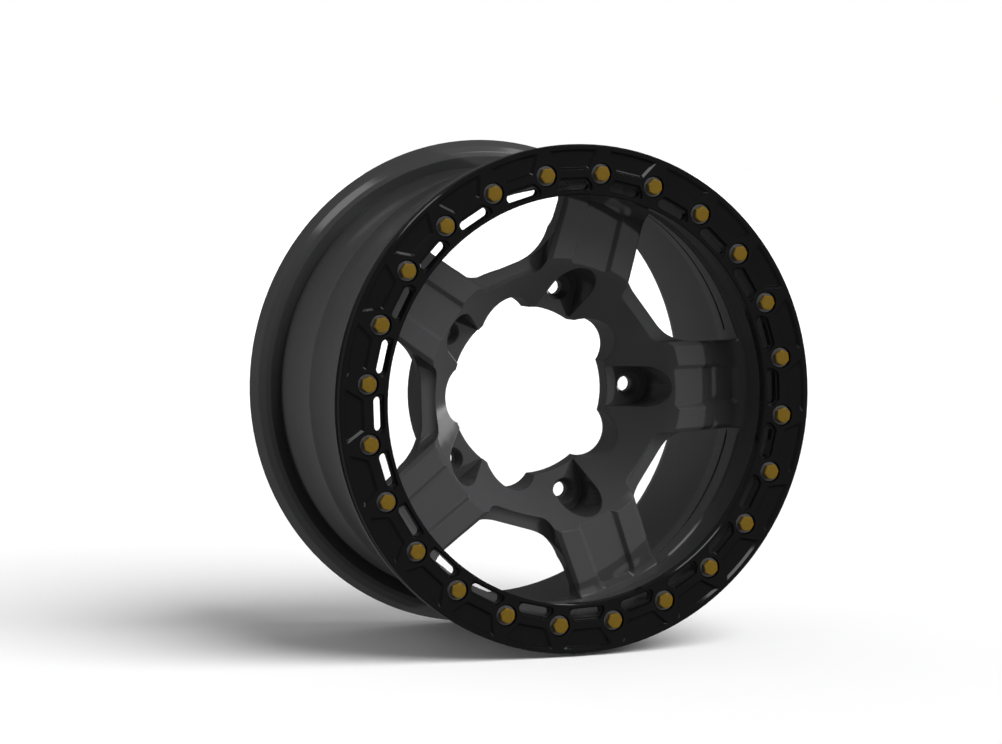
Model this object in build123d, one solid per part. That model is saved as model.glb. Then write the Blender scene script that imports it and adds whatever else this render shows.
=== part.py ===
from build123d import *
import math
import os

# Beadlock wheel, 17 x 9 inch, five spokes, in millimetres.
# The wheel is drawn with its axis on Z and its face towards +Z, then stood upright:
# face towards -Y, +Z up, origin on the axis in the plane of the hub's mounting face.
# Heights are measured from the mounting face towards the face of the wheel.

# Wheel fixing
lug_count = 5
lug_circle_d = 205.0
lug_hole_d = 14.6
lug_seat_d = 24.2
lug_seat_angle = 60.0
bore_d = 160.0
spoke_turn = 1.866

# Hub
hub_face_h = 20.0
hub_floor_h = 17.3
pad_r = 118.0
hub_back_bevel = 6.0
scallop_reach = 95.0
scallop_r = 26.0
lug_pocket_r = 18.8
lug_pocket_draft = 1.2
lug_boss_r = 24.5
funnel_r = 121.8
funnel_h = 73.2

# Spokes
spoke_face_h = 81.0
crest_run = 6.5
spoke_half = 39.6
spoke_half_tip = 38.2
spoke_edge = 4.0
bevel_angle = 45.0
spoke_back_h = 44.0
spoke_parting_h = 55.0
spoke_back_draft = 26.0
flare_start_r = 150.0
flare_corner_r = 12.0
web_back_bevel = 6.0

# Windows between the spokes
ledge_h = 60.2
ledge_chord_r = 112.4
ledge_corner_r = 14.0
ledge_fillet_r = 9.0
window_in_r = 127.4
window_in_corner_r = 58.0
window_out_r = 193.5
window_out_corner_r = 11.5
window_draft = 8.6

# Pocket in the face of each spoke
face_pocket_start = 123.0
face_pocket_end = 188.5
face_pocket_half = 21.0
face_pocket_half_tip = 19.2
face_pocket_depth = 4.2
face_pocket_corner_r = 7.0
face_pocket_draft = 40.0

# Rim barrel, seen in section
land_h = 127.0
land_r = 202.0
register_r = 218.2
shoulder_drop = 7.0
shoulder_r = 233.3
shoulder_lip = 5.0
dish_r = 193.5
dish_round = 11.0
barrel_in_mid_h = 19.0
lip_relief = 0.3
barrel_in_step = 3.3
barrel_in_back_h = -88.0
barrel_out_mid_r = 214.6
barrel_out_mid_h = -2.7
barrel_out_back_r = 210.3
seat_step_h = -100.9
hump_front_r = 221.8
hump_front_h = -95.2
hump_r = 226.2
hump_h = -97.0
hump_round = 1.2
flange_web_r = 232.0
flange_web_h = -101.6
flange_web_round = 4.0
flange_r = 238.1
flange_h = -111.5
flange_round = 2.0
flange_back_h = -114.7
flange_back_r = 235.6
flange_back_flat = 14.0
mouth_r = 211.0
mouth_h = -104.9
mouth_round = 6.0
barrel_round = 40.0

# Beadlock ring
bolt_count = 24
bolt_circle_r = 208.5
bolt_turn = 9.366
ring_in_r = 188.4
ring_out_r = 234.7
ring_t = 10.0
ring_round = 1.0
ring_back_chamfer = 2.5
seat_depth = 3.6
seat_r = 10.2
slot_in_r = 192.9
slot_out_r = 201.4
slot_half = 15.6
slot_recess_depth = 2.4
slot_recess_draft = 30.0
slot_recess_in_r = 191.6
slot_recess_mid_r = 197.6
slot_recess_out_r = 204.4
slot_recess_half_in = 17.8
slot_recess_half_mid = 18.2
slot_recess_half_out = 13.0
pocket_depth = 2.4
pocket_draft = 42.0
pocket_in_r = 211.4
pocket_out_r = 230.2
pocket_half_in = 14.2
pocket_half_out = 25.2

# Ring bolts and washers
bolt_d = 8.0
bolt_len = 28.0
head_af = 13.0
head_h = 5.3
hole_clear = 1.0
thread_clear = 0.25
tap_extra = 4.0
washer_d = 18.4
washer_t = 1.6

# Values that follow from those above
bore_r = bore_d / 2
lug_r = lug_circle_d / 2
gap_angle = 360.0 / lug_count
half_gap = gap_angle / 2
window_turn = spoke_turn + half_gap
bolt_step = 360.0 / bolt_count
slot_turn = bolt_turn + bolt_step / 2
ring_front_h = land_h + ring_t
bolt_seat_h = ring_front_h - seat_depth
head_base_h = bolt_seat_h + washer_t
shoulder_h = land_h - shoulder_drop
over = 20.0
fit_tolerance = 0.01


def spread(count, start):
    """Angles of a pattern round the axis, in degrees."""
    return [start + 360.0 / count * i for i in range(count)]


def revolved(points):
    """A solid of revolution from (radius, height) corners, or (radius, height, rounding)."""
    face = make_face(Polyline(*[point[:2] for point in points], close=True))
    for point in points:
        if len(point) == 3:
            corner = face.vertices().sort_by_distance((point[0], point[1], 0))[0]
            face = fillet(corner, point[2])
    return revolve(Plane.XZ * face, Axis.Z)


def sunk(face, height, depth, draft):
    """A drafted pocket sunk from a height, its outline alike on both sides of X."""
    return Pos(0, 0, height) * Rot(180, 0, 0) * extrude(face, depth, taper=draft)


def wheel_blank():
    """Hub, disc and rim barrel in one section, before anything is cut through the disc."""
    hub_wall_h = spoke_back_h - hub_back_bevel
    web_wall_h = spoke_back_h - web_back_bevel
    hub_back_r = pad_r + hub_wall_h * math.tan(math.radians(window_draft))
    web_out_r = window_out_r + draft_at(web_wall_h) - lip_relief
    lip_r = window_out_r + draft_at(barrel_in_mid_h) - lip_relief
    rear_r = lip_r + barrel_in_step
    section = [
        (bore_r, 0),
        (pad_r, 0),
        (hub_back_r, hub_wall_h),
        (hub_back_r + hub_back_bevel, spoke_back_h),
        (web_out_r - web_back_bevel, spoke_back_h),
        (web_out_r, web_wall_h),
        (lip_r, barrel_in_mid_h),
        (rear_r, barrel_in_mid_h - barrel_in_step),
        (rear_r, barrel_in_back_h),
        (mouth_r, mouth_h, mouth_round),
        (flange_back_r - flange_back_flat, flange_back_h),
        (flange_back_r, flange_back_h),
        (flange_r, flange_h, flange_round),
        (flange_web_r, flange_web_h, flange_web_round),
        (hump_r, hump_h, hump_round),
        (hump_front_r, hump_front_h),
        (barrel_out_back_r, seat_step_h),
        (barrel_out_mid_r, barrel_out_mid_h, barrel_round),
        (shoulder_r, shoulder_h - shoulder_lip),
        (shoulder_r, shoulder_h),
        (register_r, shoulder_h),
        (register_r, land_h),
        (land_r, land_h),
        (dish_r, spoke_face_h, dish_round),
        (funnel_r + crest_run, spoke_face_h),
        (funnel_r, funnel_h),
        (bore_r, hub_face_h),
    ]
    return revolved(section)


def window_outline(height, inner_r, set_back, outer_r, inner_corner_r, outer_corner_r):
    """One window between two spokes, centred on +X: its sides run along the spokes."""
    turn = math.radians(half_gap)
    inner_y = inner_r * math.tan(turn) - (spoke_half + set_back) / math.cos(turn)
    angle = turn - math.asin((spoke_half_tip + set_back) / outer_r)
    outer_x = outer_r * math.cos(angle)
    outer_y = outer_r * math.sin(angle)
    lines = Polyline((outer_x, outer_y), (inner_r, inner_y), (inner_r, -inner_y), (outer_x, -outer_y))
    lines += ThreePointArc((outer_x, outer_y), (outer_r, 0), (outer_x, -outer_y))
    face = make_face(lines)
    face = fillet(face.vertices().sort_by(Axis.X)[:2], inner_corner_r)
    outer = [v for v in face.vertices() if abs(math.hypot(v.X, v.Y) - outer_r) < fit_tolerance]
    face = fillet(outer, outer_corner_r)
    return Pos(0, 0, height) * face


def window_recess():
    """The step down from the hub's funnel and the spokes to the ledge round a window."""
    outline = window_outline(ledge_h, ledge_chord_r, spoke_edge, window_out_r,
                             ledge_corner_r, window_out_corner_r)
    recess = extrude(outline, land_h - ledge_h)
    foot = recess.edges().filter_by_position(Axis.Z, ledge_h, ledge_h)
    return fillet([e for e in foot if e.center().X > ledge_chord_r + 1], ledge_fillet_r)


def window_bevel():
    """The bevel along the front edges of the spokes."""
    tall = 2 * spoke_edge
    foot_r = window_out_r + draft_at(spoke_face_h - spoke_edge)
    outline = window_outline(0, ledge_chord_r - tall, spoke_edge - tall, foot_r + tall,
                             ledge_corner_r + tall, window_out_corner_r + tall)
    return sunk(outline, spoke_face_h + spoke_edge, tall, bevel_angle)


def draft_at(height):
    """How far a window has widened at a height, measured from the spokes' face."""
    return (spoke_face_h - height) * math.tan(math.radians(window_draft))


def window_opening():
    """The opening itself, widening towards the back."""
    wide = draft_at(0)
    outline = window_outline(0, window_in_r - wide + draft_at(ledge_h), spoke_edge - wide,
                             window_out_r + wide, window_in_corner_r, window_out_corner_r)
    return extrude(outline, land_h, taper=window_draft)


def spoke_back_flare():
    """The steeper slope on the back half of a spoke's sides."""
    wide = draft_at(spoke_parting_h)
    outline = window_outline(spoke_parting_h, flare_start_r, spoke_edge - wide,
                             window_out_r + wide / 2, flare_corner_r, window_out_corner_r)
    return extrude(outline, spoke_back_h - spoke_parting_h, taper=-spoke_back_draft)


def bore_scallop():
    """One of the round bites out of the bore, on +X."""
    return Pos(scallop_reach - scallop_r, 0, 0) * Cylinder(scallop_r, 2 * funnel_h)


def lug_boss():
    """The round boss behind one spoke that keeps a wall round its lug pocket, on +X."""
    top_r = lug_boss_r + spoke_back_h * math.tan(math.radians(window_draft))
    cone = Cone(lug_boss_r, top_r, spoke_back_h, align=(Align.CENTER, Align.CENTER, Align.MIN))
    return Pos(lug_r, 0, 0) * cone - Cylinder(lug_r, 3 * spoke_back_h)


def lug_pocket():
    """The slot round one wheel nut, on +X, open to the bore."""
    tall = funnel_h + over - hub_floor_h
    top_r = lug_pocket_r + tall * math.tan(math.radians(lug_pocket_draft))
    outline = Pos(lug_r, 0) * Circle(top_r) + Pos(lug_r / 2, 0) * Rectangle(lug_r, 2 * top_r)
    return sunk(outline, hub_floor_h + tall, tall, lug_pocket_draft)


def lug_seat():
    """The nut's cone seat and the stud's hole, on +X."""
    seat_h = (lug_seat_d - lug_hole_d) / 2 / math.tan(math.radians(lug_seat_angle / 2))
    section = [
        (0, -over),
        (lug_hole_d / 2, -over),
        (lug_hole_d / 2, hub_floor_h - seat_h),
        (lug_seat_d / 2, hub_floor_h),
        (lug_seat_d / 2, hub_floor_h + seat_h),
        (0, hub_floor_h + seat_h),
    ]
    return Pos(lug_r, 0, 0) * revolved(section)


def face_pocket():
    """The shallow pocket in a spoke's face, on +X, open towards the hub."""
    wall = face_pocket_depth * math.tan(math.radians(face_pocket_draft))
    outline = Polyline(
        (face_pocket_start - 2 * wall, -face_pocket_half - wall),
        (face_pocket_end + wall, -face_pocket_half_tip - wall),
        (face_pocket_end + wall, face_pocket_half_tip + wall),
        (face_pocket_start - 2 * wall, face_pocket_half + wall),
        close=True,
    )
    face = fillet(make_face(outline).vertices(), face_pocket_corner_r + wall)
    return sunk(face, spoke_face_h + face_pocket_depth, 2 * face_pocket_depth, face_pocket_draft)


def wheel_body():
    wheel = wheel_blank()
    for angle in spread(lug_count, spoke_turn):
        wheel += Rot(0, 0, angle) * lug_boss()
    for angle in spread(lug_count, window_turn):
        for cutter in (window_recess(), window_bevel(), window_opening(), spoke_back_flare(), bore_scallop()):
            wheel -= Rot(0, 0, angle) * cutter
    for angle in spread(lug_count, spoke_turn):
        wheel -= Rot(0, 0, angle) * lug_pocket()
        wheel -= Rot(0, 0, angle) * lug_seat()
        wheel -= Rot(0, 0, angle) * face_pocket()
    tapped_r = bolt_d / 2 + thread_clear / 2
    tapped_h = head_base_h - bolt_len - tap_extra
    hole = Pos(bolt_circle_r, 0, tapped_h) * Cylinder(
        tapped_r, over + bolt_len, align=(Align.CENTER, Align.CENTER, Align.MIN))
    holes = [Rot(0, 0, angle) * hole for angle in spread(bolt_count, bolt_turn)]
    return wheel - holes


def ring_section():
    back = land_h
    front = ring_front_h
    return revolved([
        (ring_in_r, back),
        (ring_out_r - ring_back_chamfer, back),
        (ring_out_r, back + ring_back_chamfer),
        (ring_out_r, front - ring_round),
        (ring_out_r - ring_round, front),
        (ring_in_r + ring_round, front),
        (ring_in_r, front - ring_round),
    ])


def ring_slot():
    """The slot through the ring between two bolts, with a shallow recess round it, on +X."""
    width = slot_out_r - slot_in_r
    mid_r = (slot_out_r + slot_in_r) / 2
    slot = Pos(mid_r, 0, land_h - 1) * extrude(
        Rot(0, 0, 90) * SlotOverall(2 * slot_half, width), ring_t + 2)
    rim = Polyline(
        (slot_recess_in_r, -slot_recess_half_in),
        (slot_recess_mid_r, -slot_recess_half_mid),
        (slot_recess_out_r, -slot_recess_half_out),
        (slot_recess_out_r, slot_recess_half_out),
        (slot_recess_mid_r, slot_recess_half_mid),
        (slot_recess_in_r, slot_recess_half_in),
        close=True,
    )
    return slot + sunk(make_face(rim), ring_front_h, slot_recess_depth, slot_recess_draft)


def ring_pocket():
    """The shallow pocket outside a slot, on +X: three straight walls and a round one outside."""
    out_x = math.sqrt(pocket_out_r ** 2 - pocket_half_out ** 2)
    spread_rate = (pocket_half_out - pocket_half_in) / (out_x - pocket_in_r)
    far_x = pocket_out_r + pocket_depth
    far_half = pocket_half_in + spread_rate * (far_x - pocket_in_r)
    sides = Polyline((far_x, far_half), (pocket_in_r, pocket_half_in),
                     (pocket_in_r, -pocket_half_in), (far_x, -far_half), close=True)
    wedge = sunk(make_face(sides), ring_front_h, pocket_depth, pocket_draft)
    return wedge & sunk(Circle(pocket_out_r), ring_front_h, pocket_depth, pocket_draft)


def bolt_seat():
    """Counterbore and clearance hole for one ring bolt, on +X."""
    at = Pos(bolt_circle_r, 0, 0)
    bore = Pos(0, 0, bolt_seat_h) * Cylinder(seat_r, over, align=(Align.CENTER, Align.CENTER, Align.MIN))
    hole = Cylinder((bolt_d + hole_clear) / 2, 2 * ring_front_h)
    return at * (bore + hole)


def beadlock_ring():
    ring = ring_section()
    cutters = [Rot(0, 0, angle) * bolt_seat() for angle in spread(bolt_count, bolt_turn)]
    for angle in spread(bolt_count, slot_turn):
        cutters.append(Rot(0, 0, angle) * ring_slot())
        cutters.append(Rot(0, 0, angle) * ring_pocket())
    return ring - cutters


def washer():
    ring = Cylinder(washer_d / 2, washer_t, align=(Align.CENTER, Align.CENTER, Align.MIN))
    ring -= Cylinder((bolt_d + thread_clear) / 2, 3 * washer_t)
    return Pos(bolt_circle_r, 0, bolt_seat_h) * ring


def ring_bolt():
    """Hexagon head bolt, its shank in the tapped hole."""
    head = extrude(RegularPolygon(head_af / 2, 6, major_radius=False), head_h)
    shank = Pos(0, 0, -bolt_len) * Cylinder(bolt_d / 2, bolt_len, align=(Align.CENTER, Align.CENTER, Align.MIN))
    return Pos(bolt_circle_r, 0, head_base_h) * (head + shank)


def ring_of(piece, count, start):
    return Compound([Rot(0, 0, angle) * piece for angle in spread(count, start)])


def stand_up(shape):
    """Turn the wheel from its axis on Z to its face towards -Y."""
    return Rot(90, 0, 0) * shape


def main():
    parts = {
        "wheel_body": wheel_body(),
        "beadlock_ring": beadlock_ring(),
        "ring_washers": ring_of(washer(), bolt_count, bolt_turn),
        "ring_bolts": ring_of(ring_bolt(), bolt_count, bolt_turn),
    }
    os.makedirs("parts", exist_ok=True)
    for name, shape in parts.items():
        export_step(stand_up(shape), f"parts/{name}.step")


if __name__ == "__main__":
    main()
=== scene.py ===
import logging
import math
from dataclasses import dataclass
from enum import Enum
from typing import Any, Callable, Optional

import bmesh
import bpy
from mathutils import Matrix, Vector


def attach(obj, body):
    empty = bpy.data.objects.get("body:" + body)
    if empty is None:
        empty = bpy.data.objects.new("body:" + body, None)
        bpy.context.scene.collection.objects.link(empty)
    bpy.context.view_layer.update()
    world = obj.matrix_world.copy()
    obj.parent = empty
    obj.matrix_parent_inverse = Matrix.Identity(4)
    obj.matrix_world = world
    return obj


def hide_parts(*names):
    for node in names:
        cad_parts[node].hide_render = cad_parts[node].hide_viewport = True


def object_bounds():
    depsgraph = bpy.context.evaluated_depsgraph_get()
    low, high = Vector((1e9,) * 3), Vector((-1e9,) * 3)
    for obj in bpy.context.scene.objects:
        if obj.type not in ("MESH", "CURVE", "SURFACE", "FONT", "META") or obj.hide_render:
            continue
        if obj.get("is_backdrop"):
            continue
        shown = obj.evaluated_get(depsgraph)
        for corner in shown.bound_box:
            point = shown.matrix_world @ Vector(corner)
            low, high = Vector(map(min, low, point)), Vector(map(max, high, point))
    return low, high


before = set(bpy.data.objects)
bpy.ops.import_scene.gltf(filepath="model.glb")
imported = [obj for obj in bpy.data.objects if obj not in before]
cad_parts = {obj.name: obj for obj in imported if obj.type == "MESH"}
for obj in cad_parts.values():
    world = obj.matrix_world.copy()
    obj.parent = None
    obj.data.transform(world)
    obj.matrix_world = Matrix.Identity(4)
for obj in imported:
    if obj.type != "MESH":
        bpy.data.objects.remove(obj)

MM = 0.001
WHITE = (1.0, 1.0, 1.0, 1.0)
LOG = logging.getLogger("beadlock_wheel")


class Tool(Enum):
    """The modifiers that finish a piece."""

    BEVEL = "BEVEL"
    BOOLEAN = "BOOLEAN"
    WEIGHTED_NORMAL = "WEIGHTED_NORMAL"


class Merge(Enum):
    """What becomes of a bolt and a second shape that reaches into it."""

    JOIN_BOTH = "UNION"
    KEEP_COMMON = "INTERSECT"


def linear(colour: str) -> tuple[float, float, float, float]:
    """Turn an sRGB hex colour into the linear values that a shader socket takes.

    Args:
        colour: Six hex digits with a leading hash.

    Returns:
        Linear red, green, blue and an alpha of one.
    """
    def channel(text: str) -> float:
        """One channel from two hex digits."""
        value = int(text, 16) / 255
        return value / 12.92 if value <= 0.04045 else ((value + 0.055) / 1.055) ** 2.4

    return (channel(colour[1:3]), channel(colour[3:5]), channel(colour[5:7]), 1.0)


def node(tree: bpy.types.NodeTree, kind: str, settings: Optional[dict[str, Any]] = None,
         **inputs: Any) -> bpy.types.Node:
    """Add a shader node with its settings and its inputs.

    Args:
        tree: The node tree that gets the node.
        kind: The node's type without its ShaderNode prefix.
        settings: Properties of the node itself.
        inputs: Values or output sockets, by the input's name with underscores for spaces, or by
            an i and the input's number.

    Returns:
        The new node.
    """
    made = tree.nodes.new("ShaderNode" + kind)
    for name, value in (settings or {}).items():
        setattr(made, name, value)
    for name, value in inputs.items():
        socket = made.inputs[int(name[1:])] if name[0] == "i" and name[1:].isdigit() \
            else made.inputs[name.replace("_", " ")]
        if isinstance(value, bpy.types.NodeSocket):
            tree.links.new(value, socket)
        else:
            socket.default_value = value
    return made


def blank_material(name: str) -> bpy.types.Material:
    """Add a material with an empty node tree.

    Args:
        name: What the material is.

    Returns:
        The material.
    """
    material = bpy.data.materials.new(name)
    material.use_nodes = True
    material.node_tree.nodes.clear()
    return material


def seen_directly(tree: bpy.types.NodeTree) -> bpy.types.NodeSocket:
    """Tell the rays that see a surface from the ones that only gather its light.

    Args:
        tree: The node tree that asks.

    Returns:
        One for camera, glossy and transmission rays, and zero for others.
    """
    rays = node(tree, "LightPath")
    seen = node(tree, "Math", {"operation": "MAXIMUM"}, i0=rays.outputs["Is Camera Ray"],
                i1=rays.outputs["Is Glossy Ray"])
    return node(tree, "Math", {"operation": "MAXIMUM"}, i0=seen.outputs[0],
                i1=rays.outputs["Is Transmission Ray"]).outputs[0]


def emitter(name: str, strength: float) -> bpy.types.Material:
    """Make a plain white material that glows.

    Args:
        name: The material's name.
        strength: Its brightness, one being paper white.

    Returns:
        The material.
    """
    material = blank_material(name)
    tree = material.node_tree
    glow = node(tree, "Emission", Color=WHITE, Strength=strength)
    node(tree, "OutputMaterial", Surface=glow.outputs[0])
    return material


@dataclass(frozen=True)
class Finish:
    """A surface: what it is, its colours and its texture sizes in millimetres.

    The colour drifts between colour and dark in clouds, and the gloss drifts with it. A fine grain
    gives the bump. Specks lie on top where they have a size. Sharp edges shade as if rounded by
    edge_mm.
    """

    name: str
    colour: str
    dark: str
    metallic: float
    roughness: float
    roughness_spread: float
    grain_mm: float
    grain_height_mm: float
    cloud_mm: float
    edge_mm: float
    specular: float = 0.5
    speck_mm: float = 0.0
    speck_colour: str = "#000000"
    speck_core: float = 0.12
    speck_fade: float = 0.3
    cloud_detail: float = 3.0
    grain_detail: float = 2.0
    grain_strength: float = 0.5
    edge_samples: int = 6

    def build(self) -> bpy.types.Material:
        """Make the material.

        Returns:
            A material whose colour, gloss and grain vary over the surface.
        """
        material = blank_material(self.name)
        tree = material.node_tree
        place = node(tree, "TexCoord").outputs["Object"]
        cloud = node(tree, "TexNoise", Vector=place, Scale=1 / (self.cloud_mm * MM),
                     Detail=self.cloud_detail)
        grain = node(tree, "TexNoise", Vector=place, Scale=1 / (self.grain_mm * MM),
                     Detail=self.grain_detail)
        tint = node(tree, "Mix", {"data_type": "RGBA"}, i0=cloud.outputs["Fac"],
                    i6=linear(self.dark), i7=linear(self.colour))
        colour = tint.outputs[2]
        if self.speck_mm > 0:
            speck = node(tree, "TexVoronoi", {"feature": "F1"}, Vector=place,
                         Scale=1 / (self.speck_mm * MM))
            spot = node(tree, "MapRange", Value=speck.outputs["Distance"],
                        From_Min=self.speck_core, From_Max=self.speck_fade)
            colour = node(tree, "Mix", {"data_type": "RGBA"}, i0=spot.outputs["Result"],
                          i6=linear(self.speck_colour), i7=colour).outputs[2]
        gloss = node(tree, "MapRange", Value=cloud.outputs["Fac"],
                     To_Min=self.roughness - self.roughness_spread,
                     To_Max=self.roughness + self.roughness_spread)
        edge = node(tree, "Bevel", {"samples": self.edge_samples}, Radius=self.edge_mm * MM)
        bump = node(tree, "Bump", Strength=self.grain_strength, Distance=self.grain_height_mm * MM,
                    Height=grain.outputs["Fac"], Normal=edge.outputs["Normal"])
        surface = node(tree, "BsdfPrincipled", Base_Color=colour, Metallic=self.metallic,
                       Roughness=gloss.outputs["Result"], Normal=bump.outputs["Normal"],
                       Specular_IOR_Level=self.specular)
        node(tree, "OutputMaterial", Surface=surface.outputs["BSDF"])
        return material

    def coat(self, piece: bpy.types.Object) -> None:
        """Make this the only finish of a piece.

        Args:
            piece: The piece that gets it.
        """
        piece.data.materials.clear()
        piece.data.materials.append(self.build())


# Gloss powder coat over a casting: charcoal, with a fine orange peel in its clear highlights.
BODY_COAT = Finish("gloss_charcoal_powder_coat", "#3d3d3e", "#383839", metallic=0.0, roughness=0.13,
                   roughness_spread=0.02, grain_mm=1.6, grain_height_mm=0.006, cloud_mm=60.0,
                   edge_mm=1.6)
# Gloss black coat on machined plate: near black, deeper and tighter in its highlights.
RING_COAT = Finish("gloss_black_powder_coat", "#0e0e0f", "#0b0b0c", metallic=0.0, roughness=0.09,
                   roughness_spread=0.02, grain_mm=1.2, grain_height_mm=0.004, cloud_mm=40.0,
                   edge_mm=0.3)
# Yellow zinc on steel: a dull warm metal with small darker specks, drawn coarser than real ones so
# that they show.
GOLD_ZINC = Finish("yellow_zinc_plate", "#785f1e", "#614c18", metallic=0.35, roughness=0.55,
                   roughness_spread=0.08, grain_mm=0.9, grain_height_mm=0.02, cloud_mm=1.6,
                   edge_mm=0.3, specular=0.2, speck_mm=1.3, speck_colour="#4d3a10")
# Clear zinc on steel: a neutral grey metal, dull beside the gloss coats.
CLEAR_ZINC = Finish("clear_zinc_plate", "#5c5c5c", "#505050", metallic=0.4, roughness=0.5,
                    roughness_spread=0.05, grain_mm=0.6, grain_height_mm=0.01, cloud_mm=8.0,
                    edge_mm=0.2)


def start_fresh() -> None:
    """Leave nothing selected, so that the next operator acts on the new piece alone."""
    bpy.ops.object.select_all(action="DESELECT")


def settle() -> bpy.types.Object:
    """Put the active piece's place, turn and scale into its mesh, and return the piece."""
    bpy.ops.object.transform_apply(location=True, rotation=True, scale=True)
    return bpy.context.object


def choose_faces(piece: bpy.types.Object, wanted: Callable[[bpy.types.MeshPolygon], bool]) -> None:
    """Select some faces of the active piece and stay in edit mode, with all others deselected.

    Args:
        piece: The piece, in object mode.
        wanted: Says of a face whether it is one of them.
    """
    bpy.ops.object.mode_set(mode="EDIT")
    bpy.ops.mesh.select_mode(type="FACE")
    bpy.ops.mesh.select_all(action="DESELECT")
    bpy.ops.object.mode_set(mode="OBJECT")
    for face in piece.data.polygons:
        face.select = wanted(face)
    bpy.ops.object.mode_set(mode="EDIT")


def finish_with(piece: bpy.types.Object, tool: Tool, **settings: Any) -> None:
    """Add a modifier to a piece and apply it.

    Args:
        piece: The piece.
        tool: Which modifier.
        settings: Values of the modifier, by name.
    """
    start_fresh()
    piece.select_set(True)
    bpy.context.view_layer.objects.active = piece
    modifier = piece.modifiers.new(tool.value.lower(), tool.value)
    for name, value in settings.items():
        setattr(modifier, name, value)
    bpy.ops.object.modifier_apply(modifier=modifier.name)


def break_edges(piece: bpy.types.Object, width_mm: float, angle_deg: float, segments: int) -> None:
    """Round the edges of a piece that are sharper than an angle.

    Args:
        piece: The piece.
        width_mm: How wide the rounding is.
        angle_deg: The angle.
        segments: How many faces round one edge.
    """
    finish_with(piece, Tool.BEVEL, width=width_mm * MM, segments=segments, limit_method="ANGLE",
                angle_limit=math.radians(angle_deg), use_clamp_overlap=True)


@dataclass(frozen=True)
class BoltCircle:
    """The circle that the ring's bolts stand on, seen from the face of the wheel."""

    count: int = 24
    radius_mm: float = 208.5
    first_deg: float = 9.366

    def set_round(self, model: bpy.types.Object, name: str, height_mm: float,
                  turn_deg: float) -> bpy.types.Object:
        """Copy one piece to every place of the circle and join the copies.

        Args:
            model: The piece, standing on the origin with its axis on Z. It is used up.
            name: The name of the joined piece.
            height_mm: How far the piece stands from the mounting face.
            turn_deg: How far the piece is turned from the radius through its place.

        Returns:
            The joined piece, in the wheel's own place.
        """
        upright = Matrix.Rotation(math.radians(90), 4, "X")
        start_fresh()
        for index in range(self.count):
            angle = math.radians(self.first_deg + 360 / self.count * index)
            copy = bpy.data.objects.new(name, model.data.copy())
            bpy.context.scene.collection.objects.link(copy)
            place = Matrix.Translation((self.radius_mm * MM * math.cos(angle),
                                        self.radius_mm * MM * math.sin(angle), height_mm * MM))
            turned = Matrix.Rotation(angle + math.radians(turn_deg), 4, "Z")
            copy.matrix_world = upright @ place @ turned
            copy.select_set(True)
            bpy.context.view_layer.objects.active = copy
        bpy.data.objects.remove(model)
        settle()
        bpy.ops.object.join()
        joined = bpy.context.object
        joined.name = name
        return joined


@dataclass
class RingBolts:
    """Hexagon head bolts that clamp the bead ring, chamfered as turned heads are.

    Sizes are in millimetres, and the base is that of the head, from the mounting face.
    """

    circle: BoltCircle = BoltCircle()
    sides: int = 6
    across_flats: float = 13.0
    head_height: float = 5.3
    top_radius: float = 6.1
    chamfer_deg: float = 30.0
    shank_radius: float = 4.0
    shank_length: float = 28.0
    shank_point: float = 1.0
    edge_round: float = 0.18
    edge_deg: float = 15.0
    edge_segments: int = 2
    smooth_deg: float = 20.0
    base_height: float = 135.0
    turn_deg: float = 28.8
    turned_facets: int = 96
    shank_facets: int = 32
    end_facing: float = 0.9

    def build(self, finish: Finish) -> bpy.types.Object:
        """Model one bolt, set the bolts round the ring and dress them.

        Args:
            finish: The surface of the bolts.

        Returns:
            The 24 bolts as one piece.
        """
        bolt = self.make_head()
        self.combine(bolt, self.make_shank(), Merge.JOIN_BOTH)
        break_edges(bolt, self.edge_round, self.edge_deg, self.edge_segments)
        bpy.ops.object.shade_smooth_by_angle(angle=math.radians(self.smooth_deg))
        bolts = self.circle.set_round(bolt, "yellow_zinc_hex_bolts", self.base_height,
                                      self.turn_deg)
        finish.coat(bolts)
        return bolts

    def make_head(self) -> bpy.types.Object:
        """Cut a hexagon prism with a wide cone, which leaves the curved chamfer of a turned head.

        Returns:
            The head, standing on the origin.
        """
        middle = (0.0, 0.0, self.head_height / 2 * MM)
        half_side = math.pi / self.sides
        start_fresh()
        bpy.ops.mesh.primitive_cylinder_add(
            vertices=self.sides, radius=self.across_flats / 2 / math.cos(half_side) * MM,
            depth=self.head_height * MM, rotation=(0, 0, half_side), location=middle)
        head = settle()
        spread = self.head_height / math.tan(math.radians(self.chamfer_deg))
        start_fresh()
        bpy.ops.mesh.primitive_cone_add(
            vertices=self.turned_facets, radius1=(self.top_radius + spread) * MM,
            radius2=self.top_radius * MM, depth=self.head_height * MM, location=middle)
        self.combine(head, settle(), Merge.KEEP_COMMON)
        return head

    def make_shank(self) -> bpy.types.Object:
        """Make a shank with a pointed end.

        Returns:
            The shank, hanging from a point inside the head.
        """
        buried = self.head_height / 2
        length = self.shank_length + buried
        start_fresh()
        bpy.ops.mesh.primitive_cylinder_add(
            vertices=self.shank_facets, radius=self.shank_radius * MM, depth=length * MM,
            location=(0, 0, (buried - length / 2) * MM))
        shank = settle()
        choose_faces(shank, lambda face: face.normal.z < -self.end_facing)
        bpy.ops.mesh.bevel(offset=self.shank_point * MM, segments=1, affect="EDGES")
        bpy.ops.object.mode_set(mode="OBJECT")
        return shank

    def combine(self, bolt: bpy.types.Object, other: bpy.types.Object, merge: Merge) -> None:
        """Join a shape to the bolt, or cut the bolt with it, and delete the shape.

        Args:
            bolt: The bolt.
            other: The shape.
            merge: What becomes of the two.
        """
        finish_with(bolt, Tool.BOOLEAN, operation=merge.value, solver="EXACT", object=other)
        bpy.data.objects.remove(other)


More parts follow.
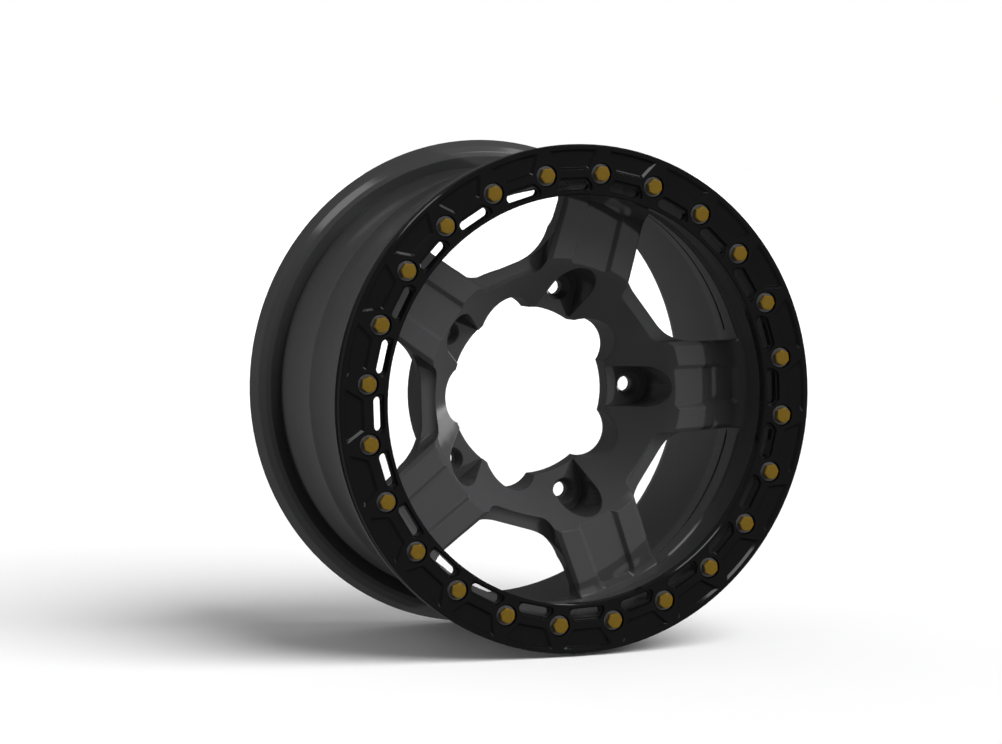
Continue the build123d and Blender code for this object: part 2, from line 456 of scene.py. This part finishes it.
@dataclass
class RingWashers:
    """Plain washers with rolled edges, one under each bolt head.

    Sizes are in millimetres, and the base is the washer's own, from the mounting face.
    """

    circle: BoltCircle = BoltCircle()
    outer_radius: float = 9.2
    hole_radius: float = 4.125
    thickness: float = 1.6
    edge_round: float = 0.35
    edge_segments: int = 3
    smooth_deg: float = 30.0
    base_height: float = 133.4
    steps: int = 64
    seam_mm: float = 0.001

    def build(self, finish: Finish) -> bpy.types.Object:
        """Model one washer, set the washers round the ring and dress them.

        Args:
            finish: The surface of the washers.

        Returns:
            The 24 washers as one piece.
        """
        start_fresh()
        middle = (self.outer_radius + self.hole_radius) / 2
        bpy.ops.mesh.primitive_plane_add(size=1, rotation=(math.radians(90), 0, 0),
                                         location=(middle * MM, 0, self.thickness / 2 * MM))
        washer = bpy.context.object
        washer.scale = ((self.outer_radius - self.hole_radius) * MM, self.thickness * MM, 1.0)
        settle()
        bpy.ops.object.mode_set(mode="EDIT")
        bpy.ops.mesh.select_all(action="SELECT")
        bpy.ops.mesh.bevel(offset=self.edge_round * MM, segments=self.edge_segments,
                           affect="VERTICES")
        bpy.ops.mesh.select_all(action="SELECT")
        bpy.ops.mesh.delete(type="ONLY_FACE")
        bpy.ops.mesh.select_all(action="SELECT")
        bpy.ops.mesh.spin(steps=self.steps, angle=2 * math.pi, center=(0, 0, 0), axis=(0, 0, 1))
        bpy.ops.mesh.select_all(action="SELECT")
        bpy.ops.mesh.remove_doubles(threshold=self.seam_mm * MM)
        bpy.ops.mesh.normals_make_consistent(inside=False)
        bpy.ops.object.mode_set(mode="OBJECT")
        bpy.ops.object.shade_smooth_by_angle(angle=math.radians(self.smooth_deg))
        washers = self.circle.set_round(washer, "clear_zinc_washers", self.base_height, 0.0)
        finish.coat(washers)
        return washers


@dataclass
class BeadRing:
    """The bolted ring, its milled pockets rounded at their corners and its edges broken.

    Sizes are in millimetres. The heights are the ring's face and the pockets' floor.
    """

    face_height: float = 137.0
    floor_height: float = 134.6
    height_slack: float = 0.1
    corner_deg: float = 30.0
    corner_round: float = 1.1
    corner_segments: int = 3
    edge_round: float = 0.15
    edge_segments: int = 2
    edge_deg: float = 28.0
    flat_deg: float = 1.0
    seam_mm: float = 0.01

    def build(self, finish: Finish) -> bpy.types.Object:
        """Round a copy of the machined ring and dress it.

        Args:
            finish: The surface of the ring.

        Returns:
            The ring.
        """
        start_fresh()
        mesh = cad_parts["beadlock_ring"].data.copy()
        ring = bpy.data.objects.new("rounded_bead_ring", mesh)
        bpy.context.scene.collection.objects.link(ring)
        ring.select_set(True)
        bpy.context.view_layer.objects.active = ring
        bpy.ops.object.mode_set(mode="EDIT")
        bpy.ops.mesh.select_mode(type="EDGE")
        bpy.ops.mesh.select_all(action="SELECT")
        bpy.ops.mesh.remove_doubles(threshold=self.seam_mm * MM)
        bpy.ops.mesh.dissolve_limited(angle_limit=math.radians(self.flat_deg))
        bpy.ops.mesh.select_all(action="DESELECT")
        self.select_pocket_corners(ring)
        bpy.ops.mesh.bevel(offset=self.corner_round * MM, segments=self.corner_segments,
                           affect="EDGES", clamp_overlap=True)
        bpy.ops.object.mode_set(mode="OBJECT")
        break_edges(ring, self.edge_round, self.edge_deg, self.edge_segments)
        bpy.ops.object.shade_smooth_by_angle(angle=math.radians(self.edge_deg))
        finish_with(ring, Tool.WEIGHTED_NORMAL, keep_sharp=True)
        finish.coat(ring)
        return ring

    def select_pocket_corners(self, ring: bpy.types.Object) -> None:
        """Select the edges where two walls of a milled pocket meet.

        Args:
            ring: The ring, in edit mode.
        """
        mesh = bmesh.from_edit_mesh(ring.data)
        found = 0
        for edge in mesh.edges:
            low, high = sorted(-vertex.co.y / MM for vertex in edge.verts)
            if abs(low - self.floor_height) < self.height_slack and \
                    abs(high - self.face_height) < self.height_slack and \
                    edge.calc_face_angle(0.0) > math.radians(self.corner_deg):
                edge.select_set(True)
                found += 1
        bmesh.update_edit_mesh(ring.data)
        LOG.info("rounding %d pocket corners", found)


@dataclass
class PhotoCamera:
    """The camera of the picture, solved from the ring's 24 bolts."""

    image_width: float = 1002.0
    focal_px: float = 3364.0
    sensor_mm: float = 36.0
    pitch_deg: float = 85.8151
    turn_deg: float = -22.3858
    place_m: tuple[float, float, float] = (-1.2389, -2.9558, 0.2506)
    shift_px: tuple[float, float] = (-1.2, 0.7)
    view_end_m: float = 50.0

    def build(self) -> bpy.types.Object:
        """Place the camera and make it the scene's own.

        Returns:
            The camera object.
        """
        data = bpy.data.cameras.new("photo_camera")
        data.sensor_width = self.sensor_mm
        data.lens = self.focal_px * self.sensor_mm / self.image_width
        data.clip_end = self.view_end_m
        data.shift_x = self.shift_px[0] / self.image_width
        data.shift_y = self.shift_px[1] / self.image_width
        camera = bpy.data.objects.new("photo_camera", data)
        camera.location = self.place_m
        camera.rotation_euler = (math.radians(self.pitch_deg), 0.0, math.radians(self.turn_deg))
        bpy.context.scene.collection.objects.link(camera)
        bpy.context.scene.camera = camera
        return camera


def show_only_in_reflections(piece: bpy.types.Object) -> None:
    """Hide a piece of the studio from all but reflections, and keep it out of the object.

    Args:
        piece: The card, wall or cloth.
    """
    piece.visible_camera = False
    piece.visible_diffuse = False
    piece.visible_transmission = False
    piece.visible_shadow = False
    piece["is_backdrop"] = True


@dataclass(frozen=True)
class Lamp:
    """A lamp far away: where it is from the object, its strength and how wide it looks."""

    name: str
    direction: tuple[float, float, float]
    strength: float
    angle_deg: float

    def build(self) -> None:
        """Hang the lamp, hidden from reflections, which show the cards and the backdrop instead."""
        light = bpy.data.lights.new(self.name, "SUN")
        light.energy = self.strength
        light.angle = math.radians(self.angle_deg)
        lamp = bpy.data.objects.new(self.name, light)
        lamp.rotation_euler = Vector(self.direction).to_track_quat("Z", "Y").to_euler()
        lamp.visible_glossy = False
        bpy.context.scene.collection.objects.link(lamp)


@dataclass(frozen=True)
class Card:
    """A bright card that shows only in reflections: where it is from the object, and its size."""

    name: str
    direction: tuple[float, float, float]
    width_m: float = 1.9
    height_m: float = 1.3
    distance_m: float = 4.0
    strength: float = 2.8

    def build(self) -> None:
        """Hang the card, facing the object."""
        away = Vector(self.direction).normalized()
        start_fresh()
        bpy.ops.mesh.primitive_plane_add(size=1, location=away * self.distance_m,
                                         rotation=away.to_track_quat("Z", "Y").to_euler())
        card = bpy.context.object
        card.name = self.name
        card.scale = (self.width_m, self.height_m, 1.0)
        settle()
        card.data.materials.append(emitter(self.name, self.strength))
        show_only_in_reflections(card)


@dataclass
class Studio:
    """White floor and backdrop in a dark room, a hard key light and four wide soft ones.

    The photograph's ground is white, but its gloss reflects a dark room with a few light places.
    Sizes are in metres.
    """

    lamps: tuple[Lamp, ...] = (
        Lamp("key_light", (0.51, -0.857, -0.03), 1.8, 1.5),
        Lamp("side_light", (-0.88, 0.25, -0.3), 2.9, 60.0),
        Lamp("high_soft_light", (0.38, -0.6, 0.7), 3.4, 50.0),
        Lamp("bounce_light", (-0.25, -0.9, -0.35), 0.7, 60.0),
        Lamp("back_light", (-0.35, 0.93, 0.0), 1.0, 50.0),
    )
    cards: tuple[Card, ...] = (
        Card("right_reflection_card", (0.47, -0.36, 0.8)),
        Card("left_reflection_card", (-0.36, -0.42, 0.83)),
    )
    sky_strength: float = 0.28
    floor_half: float = 30.0
    paper_colour: str = "#fafafa"
    dull_colour: str = "#6a6a6a"
    glow_start: float = 0.8
    glow_full: float = 4.0
    glow_strength: float = 0.25
    room_radius: float = 6.0
    room_segments: int = 72
    room_glow: float = 0.06
    cloth_lift: float = 0.001
    backdrop_turn_deg: float = 44.0
    backdrop_half_deg: float = 13.0
    backdrop_top: float = 1.0

    def build(self, floor_z: float) -> None:
        """Make the floor, the surroundings and the lights.

        Args:
            floor_z: Height of the floor in metres.
        """
        self.make_floor(floor_z)
        self.make_world()
        self.make_room(floor_z)
        for thing in self.lamps + self.cards:
            thing.build()

    def make_floor(self, floor_z: float) -> None:
        """Lay a white floor that keeps the object's shadow and glows more with distance.

        The glow, which only rays that see the floor meet, hides the horizon. Other rays meet a
        duller floor, so that it throws little light up. It casts no shadow, because the key light
        comes from a little below it.

        Args:
            floor_z: Height of the floor in metres.
        """
        start_fresh()
        bpy.ops.mesh.primitive_plane_add(size=2 * self.floor_half, location=(0, 0, floor_z))
        floor = settle()
        floor.name = "studio_floor"
        material = blank_material("white_paper_sweep")
        tree = material.node_tree
        dull = node(tree, "BsdfDiffuse", Color=linear(self.dull_colour))
        paper = node(tree, "BsdfDiffuse", Color=linear(self.paper_colour))
        place = node(tree, "TexCoord").outputs["Object"]
        reach = node(tree, "VectorMath", {"operation": "LENGTH"}, i0=place)
        far = node(tree, "MapRange", Value=reach.outputs["Value"], From_Min=self.glow_start,
                   From_Max=self.glow_full, To_Min=0.0, To_Max=self.glow_strength)
        glow = node(tree, "Emission", Color=WHITE, Strength=far.outputs["Result"])
        both = node(tree, "AddShader", i0=paper.outputs[0], i1=glow.outputs[0])
        mixed = node(tree, "MixShader", Fac=seen_directly(tree), i1=dull.outputs[0],
                     i2=both.outputs[0])
        node(tree, "OutputMaterial", Surface=mixed.outputs[0])
        floor.data.materials.append(material)
        floor.visible_shadow = False
        floor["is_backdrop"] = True

    def make_world(self) -> None:
        """Make pale surroundings, pure white where they are seen directly or in a reflection."""
        world = bpy.data.worlds.new("white_surroundings")
        world.use_nodes = True
        tree = world.node_tree
        tree.nodes.clear()
        sky = node(tree, "Background", Color=WHITE, Strength=self.sky_strength)
        plain = node(tree, "Background", Color=WHITE, Strength=1.0)
        mixed = node(tree, "MixShader", Fac=seen_directly(tree), i1=sky.outputs[0],
                     i2=plain.outputs[0])
        node(tree, "OutputWorld", Surface=mixed.outputs[0])
        bpy.context.scene.world = world

    def make_room(self, floor_z: float) -> None:
        """Set up dark walls and a dark cloth on the floor that show only in reflections.

        Args:
            floor_z: Height of the floor in metres.
        """
        start_fresh()
        bpy.ops.mesh.primitive_uv_sphere_add(segments=self.room_segments,
                                             ring_count=self.room_segments // 2,
                                             radius=self.room_radius)
        room = bpy.context.object
        room.name = "dark_studio_walls"
        self.open_backdrop(room)
        start_fresh()
        bpy.ops.mesh.primitive_circle_add(vertices=self.room_segments, radius=self.room_radius,
                                          fill_type="TRIFAN",
                                          location=(0, 0, floor_z + self.cloth_lift))
        cloth = settle()
        cloth.name = "dark_studio_cloth"
        finish = emitter("dark_cloth_walls", self.room_glow)
        for piece in (room, cloth):
            piece.data.materials.append(finish)
            show_only_in_reflections(piece)

    def open_backdrop(self, room: bpy.types.Object) -> None:
        """Take out the part of the walls that stands before the white backdrop.

        Args:
            room: The walls, the only selected object.
        """
        turn = math.radians(self.backdrop_turn_deg)
        centre = Vector((math.cos(turn), math.sin(turn), 0.0))
        half = math.radians(self.backdrop_half_deg)
        choose_faces(room, lambda face: face.center.angle(centre) < half
                     and face.center.z < self.backdrop_top)
        bpy.ops.mesh.delete(type="FACE")
        bpy.ops.object.mode_set(mode="OBJECT")


def dress(name: str, finish: Finish) -> None:
    """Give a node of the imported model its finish.

    Args:
        name: The node's name.
        finish: The surface it gets.
    """
    finish.coat(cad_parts[name])
    LOG.info("dressed %s in %s", name, finish.name)


def main() -> None:
    """Build the wheel's looks and the studio round it."""
    logging.basicConfig(level=logging.INFO, format="%(name)s %(message)s")
    solid_box = [list(corner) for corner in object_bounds()]
    PhotoCamera().build()
    dress("wheel_body", BODY_COAT)
    ring = BeadRing().build(RING_COAT)
    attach(ring, "root")
    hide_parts("beadlock_ring")
    LOG.info("built %s", ring.name)
    bolts = RingBolts().build(GOLD_ZINC)
    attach(bolts, "root")
    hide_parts("ring_bolts")
    LOG.info("built %s", bolts.name)
    washers = RingWashers().build(CLEAR_ZINC)
    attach(washers, "root")
    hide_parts("ring_washers")
    LOG.info("built %s", washers.name)
    Studio().build(solid_box[0][2])
    bpy.context.scene.view_settings.view_transform = "Standard"


if __name__ == "__main__":
    main()
